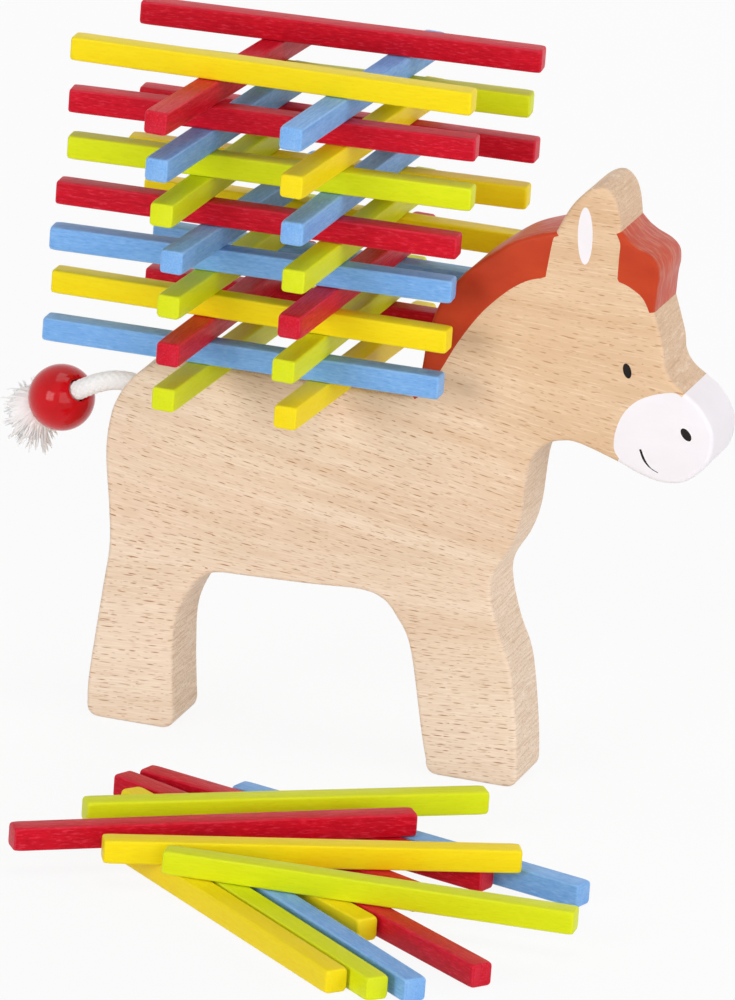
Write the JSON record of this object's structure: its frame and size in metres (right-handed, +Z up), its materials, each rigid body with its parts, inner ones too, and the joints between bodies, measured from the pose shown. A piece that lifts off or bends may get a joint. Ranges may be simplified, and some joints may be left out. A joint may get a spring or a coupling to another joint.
{
  "type": "wooden balancing game",
  "caption": "Wooden balancing game: a flat-backed beech donkey with a cord tail carries crossed layers of coloured sticks, with more sticks heaped beside it on the table.",
  "frame": {"origin": "on the table, under the middle of the box around the donkey and all the sticks, without the tail", "axes": "+X from the tail to the head along the donkey's board, +Y across the board away from the heap, +Z up"},
  "size_m": [0.1978, 0.2258, 0.1808],
  "materials": {
    "beech": "sanded, thinly varnished beech, painted mane, muzzle, eye and ear",
    "cotton": "braided white cotton cord, frayed at the end",
    "bead": "glossy red lacquer",
    "stick_red": "stained and varnished",
    "stick_yellow": "stained and varnished",
    "stick_lime": "stained and varnished",
    "stick_blue": "stained and varnished"
  },
  "bodies": {
    "donkey": {"donkey_body": "beech", "tail_cord_root": "cotton"},
    "tail": {"tail_cord": "cotton", "tail_bead": "bead", "tail_tassel": "cotton"},
    "across_1_rear": {"across_1_rear": "stick_lime"},
    "across_1_front": {"across_1_front": "stick_yellow"},
    "across_2_rear": {"across_2_rear": "stick_red"},
    "across_2_front": {"across_2_front": "stick_lime"},
    "across_3_rear": {"across_3_rear": "stick_lime"},
    "across_3_front": {"across_3_front": "stick_red"},
    "across_4_rear": {"across_4_rear": "stick_blue"},
    "across_4_front": {"across_4_front": "stick_lime"},
    "across_5_rear": {"across_5_rear": "stick_lime"},
    "across_5_front": {"across_5_front": "stick_blue"},
    "across_6_rear": {"across_6_rear": "stick_blue"},
    "across_6_front": {"across_6_front": "stick_yellow"},
    "across_7_rear": {"across_7_rear": "stick_red"},
    "across_7_front": {"across_7_front": "stick_blue"},
    "along_1_near": {"along_1_near": "stick_blue"},
    "along_1_far": {"along_1_far": "stick_red"},
    "along_2_near": {"along_2_near": "stick_yellow"},
    "along_2_far": {"along_2_far": "stick_blue"},
    "along_3_near": {"along_3_near": "stick_blue"},
    "along_3_far": {"along_3_far": "stick_yellow"},
    "along_4_near": {"along_4_near": "stick_red"},
    "along_4_far": {"along_4_far": "stick_yellow"},
    "along_5_near": {"along_5_near": "stick_lime"},
    "along_5_far": {"along_5_far": "stick_red"},
    "along_6_near": {"along_6_near": "stick_red"},
    "along_6_far": {"along_6_far": "stick_lime"},
    "along_7_near": {"along_7_near": "stick_yellow"},
    "along_7_far": {"along_7_far": "stick_red"},
    "heap_lower_1": {"heap_lower_1": "stick_blue"},
    "heap_lower_2": {"heap_lower_2": "stick_red"},
    "heap_lower_3": {"heap_lower_3": "stick_red"},
    "heap_lower_4": {"heap_lower_4": "stick_red"},
    "heap_lower_5": {"heap_lower_5": "stick_yellow"},
    "heap_lower_6": {"heap_lower_6": "stick_blue"},
    "heap_lower_7": {"heap_lower_7": "stick_lime"},
    "heap_lower_8": {"heap_lower_8": "stick_yellow"},
    "heap_upper_1": {"heap_upper_1": "stick_lime"},
    "heap_upper_2": {"heap_upper_2": "stick_red"},
    "heap_upper_3": {"heap_upper_3": "stick_yellow"},
    "heap_upper_4": {"heap_upper_4": "stick_lime"}
  },
  "joints": [
    {"name": "tail_wag", "type": "hinge", "parent": "donkey", "child": "tail", "pos_m": [-0.07214, 0.06044, 0.086], "axis": [0, 0, 1], "range_deg": [-20, 20]},
    {"name": "pull_across_1_rear", "type": "slide", "parent": "donkey", "child": "across_1_rear", "axis": [-0.0349, -0.9994, 0], "range_m": [0, 0.1]},
    {"name": "pull_across_1_front", "type": "slide", "parent": "donkey", "child": "across_1_front", "axis": [-0.0349, -0.9994, 0], "range_m": [0, 0.1]},
    {"name": "pull_across_2_rear", "type": "slide", "parent": "donkey", "child": "across_2_rear", "axis": [-0.0209, -0.9998, 0], "range_m": [0, 0.1]},
    {"name": "pull_across_2_front", "type": "slide", "parent": "donkey", "child": "across_2_front", "axis": [-0.014, -0.9999, 0], "range_m": [0, 0.1]},
    {"name": "pull_across_3_rear", "type": "slide", "parent": "donkey", "child": "across_3_rear", "axis": [-0.0436, -0.999, 0], "range_m": [0, 0.1]},
    {"name": "pull_across_3_front", "type": "slide", "parent": "donkey", "child": "across_3_front", "axis": [-0.0227, -0.9997, 0], "range_m": [0, 0.1]},
    {"name": "pull_across_4_rear", "type": "slide", "parent": "donkey", "child": "across_4_rear", "axis": [-0.0523, -0.9986, 0], "range_m": [0, 0.1]},
    {"name": "pull_across_4_front", "type": "slide", "parent": "donkey", "child": "across_4_front", "axis": [-0.0157, -0.9999, 0], "range_m": [0, 0.1]},
    {"name": "pull_across_5_rear", "type": "slide", "parent": "donkey", "child": "across_5_rear", "axis": [-0.0192, -0.9998, 0], "range_m": [0, 0.1]},
    {"name": "pull_across_5_front", "type": "slide", "parent": "donkey", "child": "across_5_front", "axis": [-0.0175, -0.9998, 0], "range_m": [0, 0.1]},
    {"name": "pull_across_6_rear", "type": "slide", "parent": "donkey", "child": "across_6_rear", "axis": [-0.0436, -0.999, 0], "range_m": [0, 0.1]},
    {"name": "pull_across_6_front", "type": "slide", "parent": "donkey", "child": "across_6_front", "axis": [-0.0436, -0.999, 0], "range_m": [0, 0.1]},
    {"name": "pull_across_7_rear", "type": "slide", "parent": "donkey", "child": "across_7_rear", "axis": [-0.061, -0.9981, 0], "range_m": [0, 0.1]},
    {"name": "pull_across_7_front", "type": "slide", "parent": "donkey", "child": "across_7_front", "axis": [-0.0436, -0.999, 0], "range_m": [0, 0.1]},
    {"name": "pull_along_1_near", "type": "slide", "parent": "donkey", "child": "along_1_near", "axis": [-0.9994, -0.0349, 0], "range_m": [0, 0.1]},
    {"name": "pull_along_1_far", "type": "slide", "parent": "donkey", "child": "along_1_far", "axis": [-1, -0.0087, 0], "range_m": [0, 0.1]},
    {"name": "pull_along_2_near", "type": "slide", "parent": "donkey", "child": "along_2_near", "axis": [-0.9998, -0.0175, 0], "range_m": [0, 0.1]},
    {"name": "pull_along_2_far", "type": "slide", "parent": "donkey", "child": "along_2_far", "axis": [-0.9998, -0.0175, 0], "range_m": [0, 0.1]},
    {"name": "pull_along_3_near", "type": "slide", "parent": "donkey", "child": "along_3_near", "axis": [-0.9969, -0.0785, 0], "range_m": [0, 0.1]},
    {"name": "pull_along_3_far", "type": "slide", "parent": "donkey", "child": "along_3_far", "axis": [-0.9998, -0.0175, 0], "range_m": [0, 0.1]},
    {"name": "pull_along_4_near", "type": "slide", "parent": "donkey", "child": "along_4_near", "axis": [-0.9981, -0.061, 0], "range_m": [0, 0.1]},
    {"name": "pull_along_4_far", "type": "slide", "parent": "donkey", "child": "along_4_far", "axis": [-0.9954, -0.0958, 0], "range_m": [0, 0.1]},
    {"name": "pull_along_5_near", "type": "slide", "parent": "donkey", "child": "along_5_near", "axis": [-0.9962, -0.0872, 0], "range_m": [0, 0.1]},
    {"name": "pull_along_5_far", "type": "slide", "parent": "donkey", "child": "along_5_far", "axis": [-0.9981, -0.061, 0], "range_m": [0, 0.1]},
    {"name": "pull_along_6_near", "type": "slide", "parent": "donkey", "child": "along_6_near", "axis": [-0.9936, -0.1132, 0], "range_m": [0, 0.1]},
    {"name": "pull_along_6_far", "type": "slide", "parent": "donkey", "child": "along_6_far", "axis": [-0.9942, -0.108, 0], "range_m": [0, 0.1]},
    {"name": "lift_along_7_near", "type": "slide", "parent": "donkey", "child": "along_7_near", "axis": [0, 0, 1], "range_m": [0, 0.06]},
    {"name": "lift_along_7_far", "type": "slide", "parent": "donkey", "child": "along_7_far", "axis": [0, 0, 1], "range_m": [0, 0.06]},
    {"name": "pull_heap_lower_1", "type": "slide", "parent": "donkey", "child": "heap_lower_1", "axis": [0.9613, -0.2756, 0], "range_m": [0, 0.1]},
    {"name": "pull_heap_lower_2", "type": "slide", "parent": "donkey", "child": "heap_lower_2", "axis": [0.9588, -0.284, 0], "range_m": [0, 0.1]},
    {"name": "pull_heap_lower_3", "type": "slide", "parent": "donkey", "child": "heap_lower_3", "axis": [0.9026, -0.4305, 0], "range_m": [0, 0.1]},
    {"name": "pull_heap_lower_4", "type": "slide", "parent": "donkey", "child": "heap_lower_4", "axis": [0.8039, -0.5948, 0], "range_m": [0, 0.1]},
    {"name": "pull_heap_lower_5", "type": "slide", "parent": "donkey", "child": "heap_lower_5", "axis": [0.7986, -0.6018, 0], "range_m": [0, 0.1]},
    {"name": "pull_heap_lower_6", "type": "slide", "parent": "donkey", "child": "heap_lower_6", "axis": [0.7547, -0.6561, 0], "range_m": [0, 0.1]},
    {"name": "pull_heap_lower_7", "type": "slide", "parent": "donkey", "child": "heap_lower_7", "axis": [0.7547, -0.6561, 0], "range_m": [0, 0.1]},
    {"name": "pull_heap_lower_8", "type": "slide", "parent": "donkey", "child": "heap_lower_8", "axis": [0.7547, -0.6561, 0], "range_m": [0, 0.1]},
    {"name": "lift_heap_upper_1", "type": "slide", "parent": "donkey", "child": "heap_upper_1", "axis": [0, 0, 1], "range_m": [0, 0.06]},
    {"name": "lift_heap_upper_2", "type": "slide", "parent": "donkey", "child": "heap_upper_2", "axis": [0, 0, 1], "range_m": [0, 0.06]},
    {"name": "lift_heap_upper_3", "type": "slide", "parent": "donkey", "child": "heap_upper_3", "axis": [0, 0, 1], "range_m": [0, 0.06]},
    {"name": "lift_heap_upper_4", "type": "slide", "parent": "donkey", "child": "heap_upper_4", "axis": [0, 0, 1], "range_m": [0, 0.06]}
  ]
}
